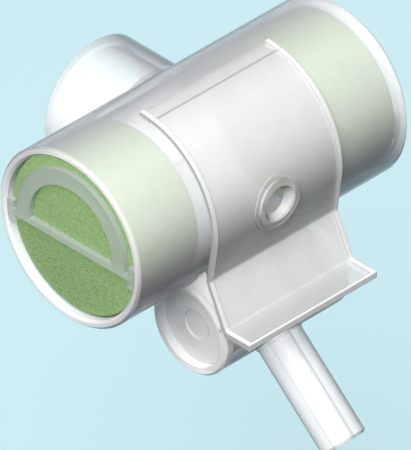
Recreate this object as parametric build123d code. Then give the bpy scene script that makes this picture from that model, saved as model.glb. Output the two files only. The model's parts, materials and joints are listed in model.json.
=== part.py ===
"""Tracheostomy heat and moisture exchanger: a clear cross tube on a 15 mm patient
connector, with a foam medium in each end, a suction port under a hinged flap, and an
oxygen chamber with its spigot below the front.

The tube lies along X and the patient connector points along +Y, so the suction port
faces -Y. Z is up. While the pieces are made, the tube's axis is the X axis; each one is
then moved so that the origin is the middle of the patient connector's mouth.
"""
import os
from math import cos, radians, sin, tan

from build123d import *

# Clear cross tube, open at both ends
barrel_length = 49.8
barrel_outer_r = 13.0
barrel_wall = 1.25
barrel_rim_bevel = 0.35

# Straight ribs inside the tube, whose ends stop the media
stop_rib_angle = 40.0
stop_rib_width = 0.8
stop_rib_height = 0.7

# Patient connector: 15 mm socket at the back of the tube, conical outside
connector_reach = 20.3
connector_mouth_r = 9.25
connector_root_r = 9.15
connector_bore_r = 7.7
connector_lead_in = 0.4

# Foam media
medium_length = 11.2
medium_recess = 1.1
medium_clearance = 0.03
medium_edge_bevel = 0.25

# D-shaped retainers in front of the media
retainer_depth = 0.85
retainer_clearance = 0.02
retainer_bar_height = 1.0
retainer_bar_drop = 1.05
retainer_hoop_gap = 1.75
retainer_hoop_width = 2.4
retainer_foot_height = 3.4
retainer_foot_depth = 1.1

# Oxygen chamber: a short tube below the front, parallel to the cross tube
chamber_length = 23.0
chamber_outer_r = 6.8
chamber_wall = 1.2
chamber_angle = 62.6
chamber_sink = 0.9
chamber_rim_bevel = 0.3

# Plugs that close the chamber's ends
chamber_plug_thickness = 1.2
chamber_plug_recess = 1.3
chamber_plug_clearance = 0.02
chamber_dimple_r = 2.2
chamber_dimple_depth = 0.35

# Oxygen spigot and the small inlet from the chamber into the cross tube
spigot_outer_r = 3.3
spigot_bore_r = 1.65
spigot_angle = 42.0
spigot_reach = 23.2
spigot_end_bevel = 0.3
spigot_root_r = 4.05
spigot_root_stand = 0.4
oxygen_inlet_r = 1.4

# Gusset ribs between the two tubes, with the outer pair just beyond the flap's sides
gusset_thickness = 1.0
gusset_inner_x = 5.9
gusset_beyond_flap = 0.35

# Suction port and the flap over it
port_r = 3.75
flap_width = 23.7
flap_thickness = 0.42
flap_gap = 0.1
flap_leave_angle = 8.0
flap_knee_drop = 7.3
flap_flare_length = 7.95
flap_flare_angle = 25.0
flap_lip_length = 4.5
flap_lip_thickness = 0.9
flap_bend_round = 0.6
flap_rim_width = 0.75
flap_rim_height = 0.15

# Plug inside the flap, dished from outside, with a raised ring around the dish
plug_base_r = 3.6
plug_tip_r = 2.7
plug_height = 1.0
plug_floor = 0.5
dish_floor_r = 1.9
ring_width = 0.85
ring_height = 0.5
plug_step_r = 4.25
plug_step_height = 0.15

# Bonded strip above the flap, and the groove of the moulded hinge between them
strip_angle = 9.0
hinge_slit = 0.12
hinge_bevel = 58.0

# Places that follow from the sizes
barrel_bore_r = barrel_outer_r - barrel_wall
medium_face_x = barrel_length / 2 - medium_recess
medium_inner_x = medium_face_x - medium_length
chamber_bore_r = chamber_outer_r - chamber_wall
chamber_distance = barrel_outer_r + chamber_outer_r - chamber_sink
chamber_down = Vector(0, -cos(radians(chamber_angle)), -sin(radians(chamber_angle)))
chamber_centre = chamber_down * chamber_distance
spigot_way = Vector(0, -cos(radians(spigot_angle)), -sin(radians(spigot_angle)))
flap_inner_r = barrel_outer_r + flap_gap
hinge_out = Vector(0, -sin(radians(strip_angle)), cos(radians(strip_angle)))
hinge_centre = hinge_out * (flap_inner_r + flap_thickness)


def rod_along_x(radius, length):
    """Plain rod about the X axis, centred on the origin."""
    return Rot(0, 90, 0) * Cylinder(radius, length)


def rod_from(start, way, radius, length):
    """Plain rod that starts at a point and runs one way."""
    base = Plane(origin=start, z_dir=way)
    return base * Cylinder(radius, length, align=(Align.CENTER, Align.CENTER, Align.MIN))


def across(outline, x_from, x_to):
    """An outline in the YZ plane, made solid between two places along X."""
    return Pos(x_from, 0, 0) * extrude(outline, x_to - x_from, dir=(1, 0, 0))


def side_polygon(*points):
    """A polygon in the YZ plane from its (y, z) points."""
    return Plane.YZ * make_face(Polyline(*points, close=True))


def both_ends(piece):
    """The piece as made for the +X end, and its mirror image for the -X end."""
    return piece, mirror(piece, about=Plane.YZ)


def flap_knee():
    """The (y, z) where the flap leaves the tube's curve, and the knee straight below it."""
    leave = radians(flap_leave_angle)
    start = Vector(-cos(leave), -sin(leave)) * flap_inner_r
    straight = (flap_knee_drop + start.Y) / cos(leave)
    return start, start + Vector(sin(leave), -cos(leave)) * straight


def flare_way():
    """The way the flap's flared part runs, in the side view."""
    return Vector(-sin(radians(flap_flare_angle)), -cos(radians(flap_flare_angle)))


def flap_outline(thickness):
    """Side view of the flap: round the tube's front, straight down, out, lip.

    The inner line is fixed, so a thicker outline grows outward only.
    """
    flare = radians(flap_flare_angle)
    leave = radians(flap_leave_angle)
    start, knee = flap_knee()
    heel = knee + flare_way() * flap_flare_length
    bend = (flare + leave) / 2
    outer_knee = knee + Vector(-cos(bend - leave), sin(bend - leave)) * (thickness / cos(bend))
    heel_back = (thickness - flap_lip_thickness * sin(flare)) / cos(flare)
    outer_heel = heel + Vector(-heel_back, flap_lip_thickness)
    lip_end = heel - Vector(flap_lip_length, 0)
    outer_lip_end = lip_end + Vector(0, flap_lip_thickness)
    sweep = -(90 + flap_leave_angle)
    with BuildSketch(Plane.YZ) as side:
        with BuildLine():
            outer_arc = CenterArc((0, 0), flap_inner_r + thickness, 180 + flap_leave_angle, sweep)
            inner_arc = CenterArc((0, 0), flap_inner_r, 180 + flap_leave_angle, sweep)
            Line(outer_arc @ 1, inner_arc @ 1)
            inner_run = FilletPolyline(inner_arc @ 0, knee, heel, lip_end, radius=flap_bend_round)
            outer_run = FilletPolyline(
                outer_arc @ 0, outer_knee, outer_heel, outer_lip_end, radius=flap_bend_round)
            Line(inner_run @ 1, outer_run @ 1)
        make_face()
    return side.sketch


def hinge_groove():
    """Slit below the moulded hinge, which is the flap's outer skin, and a V through its rims."""
    slit = hinge_slit / 2
    height = 2 * flap_rim_height
    depth = flap_thickness + 2 * flap_gap
    top = slit + height * tan(radians(hinge_bevel))
    along = Vector(0, -hinge_out.Z, hinge_out.Y)
    corners = ((-slit, -depth), (slit, -depth), (slit, 0), (top, height), (-top, height),
               (-slit, 0))
    places = (hinge_centre + along * u + hinge_out * w for u, w in corners)
    section = side_polygon(*((place.Y, place.Z) for place in places))
    return across(section, -flap_width, flap_width)


def strip_wedge():
    """The space above the hinge, between the tube's top line and the hinge line."""
    far = 2 * (flap_inner_r + flap_thickness)
    section = side_polygon((0, 0), (0, far), (hinge_out.Y * far, hinge_out.Z * far))
    return across(section, -flap_width, flap_width)


def make_housing():
    """Clear moulding: cross tube, patient connector, oxygen chamber, spigot and ribs."""
    connector = Plane.XZ.rotated((180, 0, 0)) * Pos(0, 0, connector_reach / 2) * Cone(
        connector_root_r, connector_mouth_r, connector_reach / 2,
        align=(Align.CENTER, Align.CENTER, Align.MIN))
    chamber = rod_along_x(chamber_outer_r, chamber_length)
    chamber = chamfer(chamber.edges().filter_by(GeomType.CIRCLE), chamber_rim_bevel)
    spigot = rod_from(chamber_centre, spigot_way, spigot_outer_r, spigot_reach)
    spigot_end = spigot.edges().filter_by(GeomType.CIRCLE).sort_by(Axis.Z)[0]
    spigot = chamfer(spigot_end, spigot_end_bevel)
    root_length = chamber_wall + spigot_root_stand
    root = Plane(origin=chamber_centre + spigot_way * chamber_bore_r, z_dir=spigot_way) * Cone(
        spigot_root_r, spigot_outer_r, root_length, align=(Align.CENTER, Align.CENTER, Align.MIN))
    body = rod_along_x(barrel_outer_r, barrel_length) + connector
    body += Pos(*chamber_centre) * chamber + spigot + root
    body += make_gussets()
    body -= rod_along_x(barrel_bore_r, barrel_length)
    body += make_stop_ribs()
    body -= Pos(*chamber_centre) * rod_along_x(chamber_bore_r, chamber_length)
    body -= rod_from((0, 0, 0), (0, 1, 0), connector_bore_r, connector_reach)
    body -= rod_from((0, 0, 0), (0, -1, 0), port_r, barrel_outer_r + flap_gap)
    body -= rod_from(chamber_centre, spigot_way, spigot_bore_r, spigot_reach)
    body -= rod_from(chamber_centre, -chamber_down, oxygen_inlet_r, chamber_distance)
    for end in (0, -1):
        body = chamfer(body.edges().group_by(Axis.X)[end], barrel_rim_bevel)
    mouth = body.edges().group_by(Axis.Y)[-1].sort_by(SortBy.RADIUS)
    return chamfer(mouth[0], connector_lead_in)


def make_gussets():
    """Four ribs between the tubes, whose front edges touch the chamber parallel to the flap."""
    way = flare_way()
    chamber = Vector(chamber_centre.Y, chamber_centre.Z)
    foot = chamber + Vector(way.Y, -way.X) * chamber_outer_r
    behind_tube = foot - way * foot.dot(way)
    section = side_polygon(
        (0, 0), (behind_tube.X, behind_tube.Y), (foot.X, foot.Y), (chamber.X, chamber.Y))
    outer_x = flap_width / 2 + gusset_beyond_flap - gusset_thickness / 2
    gussets = Part()
    for x in (-outer_x, -gusset_inner_x, gusset_inner_x, outer_x):
        gussets += across(section, x - gusset_thickness / 2, x + gusset_thickness / 2)
    past_ends = rod_along_x(chamber_outer_r, chamber_length + flap_width)
    past_ends -= rod_along_x(chamber_outer_r, chamber_length)
    return gussets - Pos(*chamber_centre) * past_ends


def make_stop_ribs():
    """Straight ribs on the tube's inside, between the two media."""
    foot = barrel_wall / 4
    height = stop_rib_height + foot
    rib = Pos(0, 0, barrel_bore_r + foot - height / 2) * Box(2 * medium_inner_x, stop_rib_width, height)
    ribs = Part()
    for angle in (stop_rib_angle, 180 - stop_rib_angle, 180 + stop_rib_angle, -stop_rib_angle):
        ribs += Rot(angle, 0, 0) * rib
    return ribs


def make_flap():
    """Frosted flap: thin shell with rims along its sides, a dished and stepped plug and a lip."""
    half = flap_width / 2
    flap = across(flap_outline(flap_thickness), -half, half)
    rim_outline = flap_outline(flap_thickness + flap_rim_height)
    flap += across(rim_outline, -half, flap_rim_width - half)
    flap += across(rim_outline, half - flap_rim_width, half)
    for height, radius in ((plug_step_height, plug_step_r), (ring_height, plug_base_r)):
        raised = across(flap_outline(flap_thickness + height), -half, half)
        flap += raised & rod_from((0, 0, 0), (0, -1, 0), radius, 2 * flap_inner_r)
    plug_tip_y = plug_height - flap_inner_r
    forward = Plane(origin=(0, plug_tip_y, 0), z_dir=(0, -1, 0))
    start = (Align.CENTER, Align.CENTER, Align.MIN)
    flap += forward * Cone(plug_tip_r, plug_base_r, plug_height, align=start)
    dish_depth = plug_height + flap_thickness + ring_height - plug_floor
    dish_floor = forward * Pos(0, 0, plug_floor)
    flap -= dish_floor * Cone(dish_floor_r, plug_base_r - ring_width, dish_depth, align=start)
    return flap - strip_wedge() - hinge_groove()


def make_strip():
    """The flap's bonded strip along the top of the tube, as far as the hinge."""
    rim_r = flap_inner_r + flap_thickness + flap_rim_height
    rims = rod_along_x(rim_r, flap_width)
    rims -= rod_along_x(rim_r, flap_width - 2 * flap_rim_width)
    strip = rims + rod_along_x(flap_inner_r + flap_thickness, flap_width)
    strip -= rod_along_x(barrel_outer_r, flap_width)
    return (strip & strip_wedge()) - hinge_groove()


def make_medium():
    """Round foam medium at the +X end."""
    plain = rod_along_x(barrel_bore_r - medium_clearance, medium_length)
    plain = chamfer(plain.edges().filter_by(GeomType.CIRCLE), medium_edge_bevel)
    return Pos(medium_inner_x + medium_length / 2, 0, 0) * plain


def make_retainer():
    """D-shaped retainer at the +X end: a bar across the tube with a hoop above it."""
    rim_r = barrel_bore_r - retainer_clearance
    disc = rod_along_x(rim_r, retainer_depth)
    bar = Pos(0, 0, -retainer_bar_drop) * Box(retainer_depth, 2 * rim_r, retainer_bar_height)
    above = Pos(0, 0, rim_r - retainer_bar_drop) * Box(retainer_depth, 2 * rim_r, 2 * rim_r)
    beside = Pos(0, 0, -retainer_bar_drop) * Box(retainer_depth, 2 * rim_r, retainer_foot_height)
    hoop_r = barrel_bore_r - retainer_hoop_gap
    hoop = rod_along_x(hoop_r, retainer_depth)
    hoop -= rod_along_x(hoop_r - retainer_hoop_width, retainer_depth)
    feet = disc - rod_along_x(rim_r - retainer_foot_depth, retainer_depth)
    retainer = (hoop & above) + (bar & disc) + (feet & beside)
    return Pos(medium_face_x + retainer_clearance + retainer_depth / 2, 0, 0) * retainer


def make_chamber_plug():
    """Round plug in the +X end of the oxygen chamber, with a dimple outside."""
    plug = rod_along_x(chamber_bore_r - chamber_plug_clearance, chamber_plug_thickness)
    dimple = Pos(chamber_plug_thickness - chamber_dimple_depth, 0, 0)
    plug -= dimple * rod_along_x(chamber_dimple_r, chamber_plug_thickness)
    x = chamber_length / 2 - chamber_plug_recess - chamber_plug_thickness / 2
    return Pos(*chamber_centre) * Pos(x, 0, 0) * plug


right_medium, left_medium = both_ends(make_medium())
right_retainer, left_retainer = both_ends(make_retainer())
right_plug, left_plug = both_ends(make_chamber_plug())
nodes = {
    "housing": make_housing(),
    "suction_flap": make_flap(),
    "flap_hinge_strip": make_strip(),
    "left_medium": left_medium,
    "right_medium": right_medium,
    "left_retainer": left_retainer,
    "right_retainer": right_retainer,
    "left_chamber_plug": left_plug,
    "right_chamber_plug": right_plug,
}

os.makedirs("parts", exist_ok=True)
for name, piece in nodes.items():
    export_step(Pos(0, -connector_reach, 0) * piece, f"parts/{name}.step")
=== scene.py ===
import json
from math import radians

import bpy
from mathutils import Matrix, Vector


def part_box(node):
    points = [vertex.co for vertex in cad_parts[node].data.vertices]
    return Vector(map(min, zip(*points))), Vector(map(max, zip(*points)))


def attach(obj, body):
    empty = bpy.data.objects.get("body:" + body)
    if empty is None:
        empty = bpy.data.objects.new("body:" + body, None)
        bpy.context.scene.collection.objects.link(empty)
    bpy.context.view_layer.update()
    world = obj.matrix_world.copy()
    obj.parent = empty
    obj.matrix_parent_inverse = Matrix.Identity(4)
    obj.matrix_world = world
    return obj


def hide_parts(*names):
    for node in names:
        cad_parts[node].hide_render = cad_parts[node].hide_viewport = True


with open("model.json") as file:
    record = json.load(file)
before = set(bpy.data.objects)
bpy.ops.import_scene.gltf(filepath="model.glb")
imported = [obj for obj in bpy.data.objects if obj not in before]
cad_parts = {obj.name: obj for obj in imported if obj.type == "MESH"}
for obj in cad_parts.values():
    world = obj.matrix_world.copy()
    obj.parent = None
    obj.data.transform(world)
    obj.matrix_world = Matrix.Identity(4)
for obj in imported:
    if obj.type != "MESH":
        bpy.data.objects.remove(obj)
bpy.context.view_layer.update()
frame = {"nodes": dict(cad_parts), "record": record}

# The camera. The picture is an isometric view, so a very long lens stands far off on the
# line that makes equal angles with the three axes.
camera_lens = 1400.0
sensor_width = 36.0
frame_height = 0.05882
aim = Vector((-0.00332, -0.02380, -0.00683))
towards_camera = Vector((-1.0, -1.0, 1.0)).normalized()
camera_data = bpy.data.cameras.new("camera")
camera_data.lens = camera_lens
camera_data.sensor_width = sensor_width
camera_data.clip_start = 0.1
camera_data.clip_end = 10.0
camera = bpy.data.objects.new("camera", camera_data)
camera.location = aim + towards_camera * (frame_height * camera_lens / sensor_width)
camera.rotation_mode = "QUATERNION"
camera.rotation_quaternion = (-towards_camera).to_track_quat("-Z", "Y")
bpy.context.scene.collection.objects.link(camera)
bpy.context.scene.camera = camera
bpy.context.scene.view_settings.view_transform = "Standard"


# The room. A pale blue floor lies well below the part, and the air behind has the same
# colour. A large soft lamp stands above the front left, a weak one at the left and another
# behind, and a little light comes from all round.
floor_drop = 0.090
floor_size = 4.0
backdrop_blue = (0.597, 0.839, 0.896, 1.0)
fill_white = (1.0, 1.0, 1.0, 1.0)
floor_lit_share = 0.25
floor_light = 0.84
room_fill = 0.065
key_way = Vector((-0.50, -0.31, 0.81)).normalized()
key_distance = 0.9
key_size = 0.55
key_power = 11.3
side_way = Vector((-0.98, -0.05, 0.18)).normalized()
side_distance = 0.8
side_size = 0.45
side_power = 1.0
back_way = Vector((0.45, 0.88, 0.12)).normalized()
back_distance = 0.9
back_size = 0.70
back_power = 1.3


class Tone:
    """A value in a material: adding or multiplying two of them adds the Math node."""

    def __init__(self, tree, output=None):
        self.tree = tree
        self.output = output

    def make(self, kind, settings=None, inputs=None, take=None):
        """Adds a node: settings first, with a ramp's stops, then its sockets' values or links.

        Gives the output of the name in take, or the node's first.
        """
        node = self.tree.nodes.new(kind)
        for name, value in (settings or {}).items():
            if name == "stops":
                ramp = node.color_ramp.elements
                while len(ramp) < len(value):
                    ramp.new(0.5)
                for element, (place, colour) in zip(ramp, value):
                    element.position = place
                    element.color = colour
            else:
                setattr(node, name, value)
        for name, value in (inputs or {}).items():
            if isinstance(value, Tone):
                self.tree.links.new(value.output, node.inputs[name])
            else:
                node.inputs[name].default_value = value
        for output in node.outputs:
            if output.enabled and take in (None, output.name):
                return Tone(self.tree, output)
        return Tone(self.tree)

    def math(self, operation, first, second=0.0):
        return self.make("ShaderNodeMath", {"operation": operation}, {0: first, 1: second})

    def __add__(self, other):
        return self.math("ADD", self, other)

    def __radd__(self, other):
        return self.math("ADD", other, self)

    def __sub__(self, other):
        return self.math("SUBTRACT", self, other)

    def __rsub__(self, other):
        return self.math("SUBTRACT", other, self)

    def __mul__(self, other):
        return self.math("MULTIPLY", self, other)

    def __rmul__(self, other):
        return self.math("MULTIPLY", other, self)

    def __pow__(self, other):
        return self.math("POWER", self, other)

    def __abs__(self):
        return self.math("ABSOLUTE", self)

    def or_more(self, other):
        return self.math("MAXIMUM", self, other)


def new_material(name):
    """An empty material, and the start of its node tree."""
    material = bpy.data.materials.new(name)
    material.use_nodes = True
    material.node_tree.nodes.clear()
    return material, Tone(material.node_tree)


def seen_directly(start):
    """1 on rays from the camera and on those that gloss or clear plastic passes on."""
    camera_ray = start.make("ShaderNodeLightPath", take="Is Camera Ray")
    glossy_ray = start.make("ShaderNodeLightPath", take="Is Glossy Ray")
    passed_ray = start.make("ShaderNodeLightPath", take="Is Transmission Ray")
    return camera_ray.or_more(glossy_ray).or_more(passed_ray)


bpy.ops.object.select_all(action="DESELECT")
bpy.ops.mesh.primitive_plane_add(size=floor_size, location=(0.0, 0.0, -floor_drop))
floor = bpy.context.object
floor.name = "floor"
floor.visible_diffuse = False
floor.visible_glossy = False
floor_paint, start = new_material("floor_paint")
lit = start.make("ShaderNodeBsdfDiffuse", {}, {"Color": backdrop_blue})
glow_gain = (1.0 - floor_lit_share * floor_light) / (1.0 - floor_lit_share)
glow_colour = tuple(min(c * glow_gain, 1.0) for c in backdrop_blue[:3]) + (1.0,)
glow = start.make("ShaderNodeEmission", {}, {"Color": glow_colour, "Strength": 1.0})
top_side = start.make("ShaderNodeMixShader", {}, {
    0: seen_directly(start) * (1.0 - floor_lit_share), 1: lit, 2: glow})
from_below = start.make("ShaderNodeNewGeometry", take="Backfacing")
clear = start.make("ShaderNodeBsdfTransparent")
surface = start.make("ShaderNodeMixShader", {}, {0: from_below, 1: top_side, 2: clear})
start.make("ShaderNodeOutputMaterial", {}, {"Surface": surface})
floor.data.materials.append(floor_paint)

world = bpy.data.worlds.new("room")
bpy.context.scene.world = world
world.use_nodes = True
world.node_tree.nodes.clear()
start = Tone(world.node_tree)
fill = start.make("ShaderNodeBackground", {}, {"Color": fill_white, "Strength": room_fill})
air = start.make("ShaderNodeBackground", {}, {"Color": backdrop_blue, "Strength": 1.0})
room = start.make("ShaderNodeMixShader", {}, {0: seen_directly(start), 1: fill, 2: air})
start.make("ShaderNodeOutputWorld", {}, {"Surface": room})


def soft_lamp(name, way, distance, size, power):
    """A round soft lamp that points at the part."""
    lamp_data = bpy.data.lights.new(name, "AREA")
    lamp_data.shape = "DISK"
    lamp_data.size = size
    lamp_data.energy = power
    lamp = bpy.data.objects.new(name, lamp_data)
    lamp.location = aim + way * distance
    lamp.rotation_mode = "QUATERNION"
    lamp.rotation_quaternion = (-way).to_track_quat("-Z", "Y")
    bpy.context.scene.collection.objects.link(lamp)


soft_lamp("key_lamp", key_way, key_distance, key_size, key_power)
soft_lamp("side_lamp", side_way, side_distance, side_size, side_power)
soft_lamp("back_lamp", back_way, back_distance, back_size, back_power)


# The housing: cross tube, patient connector, oxygen chamber, spigot and ribs are one clear
# moulding of polypropylene, polished in the tool, with walls that look slightly milky. Its
# open rims and cut ends are painted whiter and more opaque, a painted highlight for the light
# that runs along the walls, and its walls are painted darker grey where they are seen edge on,
# partly the real smoke of the wall and partly painted shade.
housing_white = (0.90, 0.885, 0.89, 1.0)
housing_edge_shade = (0.22, 0.207, 0.225, 1.0)
cloud_scale = 260.0
cloud_cover = 0.05
cloud_dulling = 0.10
grain_scale = 2600.0
grain_depth = 0.0002
# Where the painted edge shade begins and where it is full, on the surface's facing value.
smoke_and_shade_begins = 0.22
smoke_and_shade_full = 0.74
end_sharpness = 6.0
end_cover = 0.3
thick_cover = 0.45
edge_softness = 0.00015
plastic_ior = 1.49
plastic_gloss = 0.3
# The places that get the painted rim highlight: round the chamber's plugs, and inside the
# tube's two mouths.
chamber_rim = 0.0101
chamber_rim_blur = 0.00010
chamber_top = -0.0150
chamber_top_blur = -0.0020
tube_axis = Vector((0.0, -0.0203, 0.0))
tube_inside = 0.0125
tube_wall_blur = 0.0003
mouth_rim = 0.0237
mouth_rim_blur = 0.00020
mouth_painted_highlight = 0.7


def past(start, axis, limit, blur):
    """1 where the place along an axis lies past the limit, and 0 before it.

    A negative blur turns the sides round. Along X, both ends of the part count.
    """
    place = start.make("ShaderNodeTexCoord", take="Object")
    along = start.make("ShaderNodeSeparateXYZ", {}, {"Vector": place}, take=axis)
    if axis == "X":
        along = abs(along)
    return start.make("ShaderNodeMapRange", {}, {
        "Value": along, "From Min": limit, "From Max": limit + blur})


def moulded_plastic(name, face, edge_on_shade, face_alpha, edge_alpha, shadow, roughness, grain,
                    painted_end_light=0.0, thick_highlit_edges=None):
    """Clear or frosted moulded plastic, smokier and with painted shade where a wall is seen
    edge on.

    Its shadow share is how much of its cover it keeps against light that passes through, and
    its painted end light how far the cut ends are painted whiter and more opaque, a painted
    highlight for the light that runs along a wall, or below nothing how far they are painted
    darker, a painted shade. Thick edges, where it has them, are more opaque, partly the real
    opacity of thicker plastic, and lose the painted shade, which paints them whiter as a
    painted highlight.
    """
    material, start = new_material(name)
    place = start.make("ShaderNodeTexCoord", take="Object")
    cloud = start.make("ShaderNodeTexNoise", {}, {
        "Vector": place, "Scale": cloud_scale, "Detail": 3.0, "Roughness": 0.55}) - 0.5
    fine = start.make("ShaderNodeTexNoise", {}, {
        "Vector": place, "Scale": grain_scale, "Detail": 2.0, "Roughness": 0.6})
    slant = start.make("ShaderNodeLayerWeight", {}, {"Blend": 0.5}, take="Facing")
    # Painted shade: towards edge on, the colour turns to the edge-on shade colour and the cover
    # grows, partly the real smoke of the longer path through the wall and partly painted shade.
    lean = start.make("ShaderNodeMapRange", {}, {
        "Value": slant, "From Min": smoke_and_shade_begins, "From Max": smoke_and_shade_full})
    normal = start.make("ShaderNodeTexCoord", take="Normal")
    across_wall = start.make("ShaderNodeSeparateXYZ", {}, {"Vector": normal}, take="X")
    cut_end = abs(across_wall) ** end_sharpness
    # Painted light on the cut ends: a positive painted end light takes the painted shade off
    # them, a painted highlight; a negative one adds painted shade.
    smoke_and_shade = start.make("ShaderNodeClamp", {}, {"Value": lean - cut_end * painted_end_light})
    cover = face_alpha + smoke_and_shade * smoke_and_shade * (edge_alpha - face_alpha)
    cover = cover + cut_end * abs(end_cover * painted_end_light) + cloud * cloud_cover
    # Painted highlight on the thick edges: they lose the painted shade and gain cover, partly
    # the real opacity of thicker plastic.
    if thick_highlit_edges:
        thick_and_highlit = thick_highlit_edges(start) * (1.0 - cut_end)
        smoke_and_shade = smoke_and_shade * (1.0 - thick_and_highlit)
        cover = cover + thick_and_highlit * thick_cover
    # This mix paints the shade: the face colour turns to the edge-on shade colour.
    colour = start.make("ShaderNodeMix", {"data_type": "RGBA"}, {
        0: smoke_and_shade, 6: face, 7: edge_on_shade})
    shadow_ray = start.make("ShaderNodeLightPath", take="Is Shadow Ray")
    soft_edges = start.make("ShaderNodeBevel", {"samples": 6}, {"Radius": edge_softness})
    bump = start.make("ShaderNodeBump", {}, {
        "Strength": grain, "Distance": grain_depth, "Height": fine, "Normal": soft_edges})
    shade = start.make("ShaderNodeBsdfPrincipled", {}, {
        "Base Color": colour, "Roughness": roughness + cloud * cloud_dulling,
        "Alpha": cover * (1.0 - shadow_ray * (1.0 - shadow)), "Normal": bump,
        "IOR": plastic_ior, "Specular IOR Level": plastic_gloss})
    start.make("ShaderNodeOutputMaterial", {}, {"Surface": shade})
    return material


def repaint(node, material):
    """Gives a piece of the model its material."""
    for slot in frame["nodes"][node].material_slots:
        slot.material = material


def open_rims(start):
    """Where the housing is painted whiter, a painted highlight: the rims round the plugs of the
    oxygen chamber, and inside the tube's two mouths.
    """
    chamber = past(start, "X", chamber_rim, chamber_rim_blur)
    chamber = chamber * past(start, "Z", chamber_top, chamber_top_blur)
    place = start.make("ShaderNodeTexCoord", take="Object")
    from_axis = start.make("ShaderNodeVectorMath", {"operation": "MULTIPLY_ADD"}, {
        0: place, 1: (0.0, 1.0, 1.0), 2: -tube_axis})
    radius = start.make("ShaderNodeVectorMath", {"operation": "LENGTH"}, {0: from_axis})
    inside = start.make("ShaderNodeMapRange", {}, {
        "Value": radius, "From Min": tube_inside + tube_wall_blur, "From Max": tube_inside})
    mouths = past(start, "X", mouth_rim, mouth_rim_blur) * inside * mouth_painted_highlight
    return chamber.or_more(mouths)


clear_plastic = moulded_plastic(
    "clear_plastic", housing_white, housing_edge_shade, face_alpha=0.38, edge_alpha=0.90,
    shadow=0.20, roughness=0.16, grain=0.08, painted_end_light=1.0, thick_highlit_edges=open_rims)
repaint("housing", clear_plastic)


# The media: a round block of fine open foam in each end of the tube, cut from a bun with a
# die, so its rim is slightly rounded and its faces show the cells.
foam_trim = 0.00004
foam_rim_round = 0.00045
foam_green = (0.300, 0.465, 0.198, 1.0)
foam_dark_green = (0.235, 0.385, 0.150, 1.0)
foam_light_green = (0.380, 0.550, 0.260, 1.0)
cell_scale = 3200.0
cell_share = 0.3
patch_scale = 1300.0


def foam_material():
    """Green foam whose cells are a third of a millimetre across."""
    material, start = new_material("green_foam")
    place = start.make("ShaderNodeTexCoord", take="Object")
    cells = 1.0 - start.make("ShaderNodeTexVoronoi", {"feature": "SMOOTH_F1"}, {
        "Vector": place, "Scale": cell_scale, "Smoothness": 0.4})
    patches = start.make("ShaderNodeTexNoise", {}, {
        "Vector": place, "Scale": patch_scale, "Detail": 4.0, "Roughness": 0.7})
    shade = start.make("ShaderNodeValToRGB", {"stops": [
        (0.30, foam_dark_green), (0.50, foam_green), (0.72, foam_light_green)]}, {
        "Fac": patches * (1.0 - cell_share) + cells * cell_share})
    bump = start.make("ShaderNodeBump", {}, {
        "Strength": 0.5, "Distance": 0.0001, "Height": cells})
    surface = start.make("ShaderNodeBsdfPrincipled", {}, {
        "Base Color": shade, "Roughness": 0.92, "Normal": bump, "Specular IOR Level": 0.15})
    start.make("ShaderNodeOutputMaterial", {}, {"Surface": surface})
    return material


green_foam = foam_material()
for side in ("left", "right"):
    low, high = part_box(side + "_medium")
    bpy.ops.object.select_all(action="DESELECT")
    bpy.ops.mesh.primitive_cylinder_add(
        vertices=96, radius=(high.z - low.z) / 2 - foam_trim, depth=high.x - low.x,
        location=(low + high) / 2, rotation=(0.0, radians(90.0), 0.0))
    medium = bpy.context.object
    medium.name = side + "_foam"
    bpy.ops.object.transform_apply(location=True, rotation=True, scale=True)
    medium.data.materials.append(green_foam)
    rim_bevel = medium.modifiers.new("rim", "BEVEL")
    rim_bevel.width = foam_rim_round
    rim_bevel.segments = 3
    rim_bevel.limit_method = "ANGLE"
    bpy.ops.object.modifier_apply(modifier="rim")
    bpy.ops.object.shade_smooth_by_angle(angle=radians(40.0))
    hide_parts(side + "_medium")
    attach(medium, "body")


# The retainers: a D-shaped moulding of satin translucent plastic, a bar with a hoop above
# it, snapped into each end of the tube in front of the foam.
# Painted shade: the retainers' colour turns darker towards the edge shade where a wall is seen
# edge on, partly the smoke of the wall and partly painted shade.
retainer_tint = (0.52, 0.57, 0.52, 1.0)
retainer_edge_shade = (0.42, 0.46, 0.42, 1.0)
retainer_plastic = moulded_plastic(
    "retainer_plastic", retainer_tint, retainer_edge_shade, face_alpha=0.45, edge_alpha=0.85,
    shadow=0.35, roughness=0.30, grain=0.12)
repaint("left_retainer", retainer_plastic)
repaint("right_retainer", retainer_plastic)


# The flap: one frosted moulding with the strip that is bonded along the top of the tube.
# It bends at a thin line between them, and its plug closes the suction port. Raised rims run
# down its sides to the finger lip.
flap_half_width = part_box("suction_flap")[1].x
flap_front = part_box("suction_flap")[0].y
# The painted highlight on the flap: a band on its raised side rims and along the front edge of
# its finger lip is painted whiter and more opaque.
flap_rim = 0.00075
flap_rim_blur = 0.00006
lip_front = 0.00035
lip_front_blur = -0.00010
flap_white = (0.90, 0.895, 0.895, 1.0)
flap_edge_shade = (0.27, 0.265, 0.27, 1.0)


def flap_rims(start):
    """Where the flap is painted whiter, a painted highlight: the raised rims along its sides,
    and the front edge of its finger lip.
    """
    sides = past(start, "X", flap_half_width - flap_rim, flap_rim_blur)
    return sides.or_more(past(start, "Y", flap_front + lip_front, lip_front_blur))


# Painted shade: the flap turns darker towards its edge shade where seen edge on, partly the
# smoke of the wall, and its cut ends are painted a little darker still.
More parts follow.
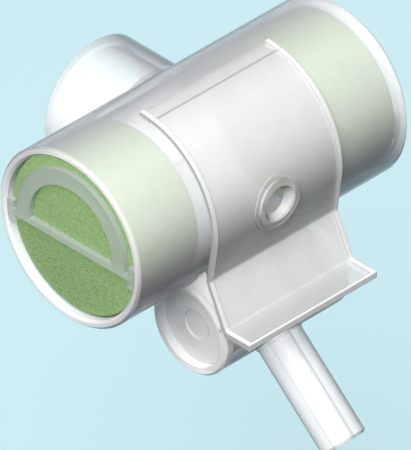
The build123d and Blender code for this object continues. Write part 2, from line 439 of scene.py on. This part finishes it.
frosted_plastic = moulded_plastic(
    "frosted_plastic", flap_white, flap_edge_shade, face_alpha=0.42, edge_alpha=0.92,
    shadow=0.50, roughness=0.34, grain=0.10, painted_end_light=-0.4, thick_highlit_edges=flap_rims)
repaint("suction_flap", frosted_plastic)


# The hinge strip: the fixed part of the same moulding, bonded along the top of the tube. Its
# edge is drawn over the bending line, as the thin web there, so no slit shows while it is shut.
web_reach = 0.00010
web_share = 0.85
hinge_pivot = Vector(frame["record"]["behaviour"]["joints"][0]["pos_m"])
strip_mesh = frame["nodes"]["flap_hinge_strip"].data.copy()
strip = bpy.data.objects.new("hinge_strip", strip_mesh)
bpy.context.scene.collection.objects.link(strip)
bpy.ops.object.select_all(action="DESELECT")
strip.select_set(True)
bpy.context.view_layer.objects.active = strip
bpy.ops.object.mode_set(mode="EDIT")
bpy.ops.mesh.select_mode(type="VERT")
bpy.ops.mesh.select_all(action="SELECT")
bpy.ops.mesh.remove_doubles(threshold=0.000001)
bpy.ops.mesh.customdata_custom_splitnormals_clear()
bpy.ops.mesh.select_all(action="DESELECT")
bpy.ops.object.mode_set(mode="OBJECT")
for corner in strip.data.vertices:
    corner.select = (corner.co.yz - hinge_pivot.yz).length < web_reach
bpy.ops.object.mode_set(mode="EDIT")
bpy.ops.transform.resize(value=(1.0, -web_share, -web_share), center_override=hinge_pivot)
bpy.ops.object.mode_set(mode="OBJECT")
bpy.ops.object.shade_smooth_by_angle(angle=radians(30.0))
strip.data.materials.clear()
strip.data.materials.append(frosted_plastic)
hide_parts("flap_hinge_strip")
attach(strip, "body")


# The chamber plugs: two round discs of satin translucent plastic, pushed into the ends of the
# oxygen chamber and bonded.
# Painted shade: the plugs' colour turns darker towards the edge shade where a wall is seen edge
# on, partly the smoke of the wall and partly painted shade.
plug_tint = (0.90, 0.89, 0.89, 1.0)
plug_edge_shade = (0.50, 0.49, 0.495, 1.0)
plug_plastic = moulded_plastic(
    "plug_plastic", plug_tint, plug_edge_shade, face_alpha=0.55, edge_alpha=0.90,
    shadow=0.40, roughness=0.25, grain=0.10)
repaint("left_chamber_plug", plug_plastic)
repaint("right_chamber_plug", plug_plastic)
